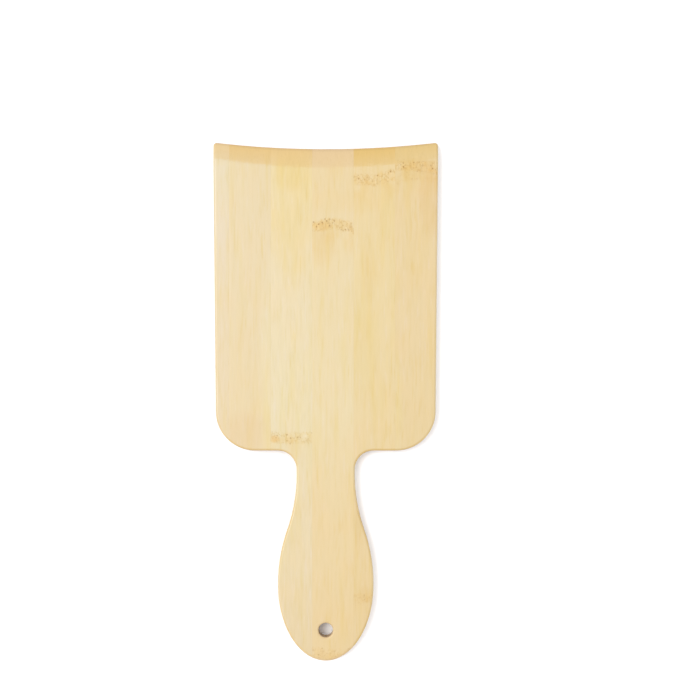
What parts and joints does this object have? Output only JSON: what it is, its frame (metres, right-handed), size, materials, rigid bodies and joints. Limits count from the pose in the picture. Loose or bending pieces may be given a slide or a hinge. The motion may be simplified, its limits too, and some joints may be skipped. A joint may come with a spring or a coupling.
{
  "type": "hair colouring paddle",
  "caption": "Flat bamboo hair colouring paddle: a broad blade with a hollow bevelled edge and rounded shoulders, and a waisted handle ending in an oval palm end with a hanging hole.",
  "frame": {"origin": "middle of the footprint, on the back face that the board lies on", "axes": "+Z out of the front face, square to the board; +Y along the grain, from the handle to the bevelled edge; +X to the right, seen from the front with the blade up"},
  "size_m": [0.1086, 0.2499, 0.008],
  "materials": {
    "front_bamboo": "satin",
    "core_bamboo": "satin",
    "back_bamboo": "satin"
  },
  "bodies": {
    "root": {"front_slat_1": "front_bamboo", "front_slat_2": "front_bamboo", "front_slat_3": "front_bamboo", "front_slat_4": "front_bamboo", "front_slat_5": "front_bamboo", "front_slat_6": "front_bamboo", "core_slat_01": "core_bamboo", "core_slat_02": "core_bamboo", "core_slat_03": "core_bamboo", "core_slat_04": "core_bamboo", "core_slat_05": "core_bamboo", "core_slat_06": "core_bamboo", "core_slat_07": "core_bamboo", "core_slat_08": "core_bamboo", "core_slat_09": "core_bamboo", "core_slat_10": "core_bamboo", "core_slat_11": "core_bamboo", "core_slat_12": "core_bamboo", "core_slat_13": "core_bamboo", "back_slat_1": "back_bamboo", "back_slat_2": "back_bamboo", "back_slat_3": "back_bamboo", "back_slat_4": "back_bamboo", "back_slat_5": "back_bamboo", "back_slat_6": "back_bamboo", "back_slat_7": "back_bamboo"}
  },
  "joints": []
}
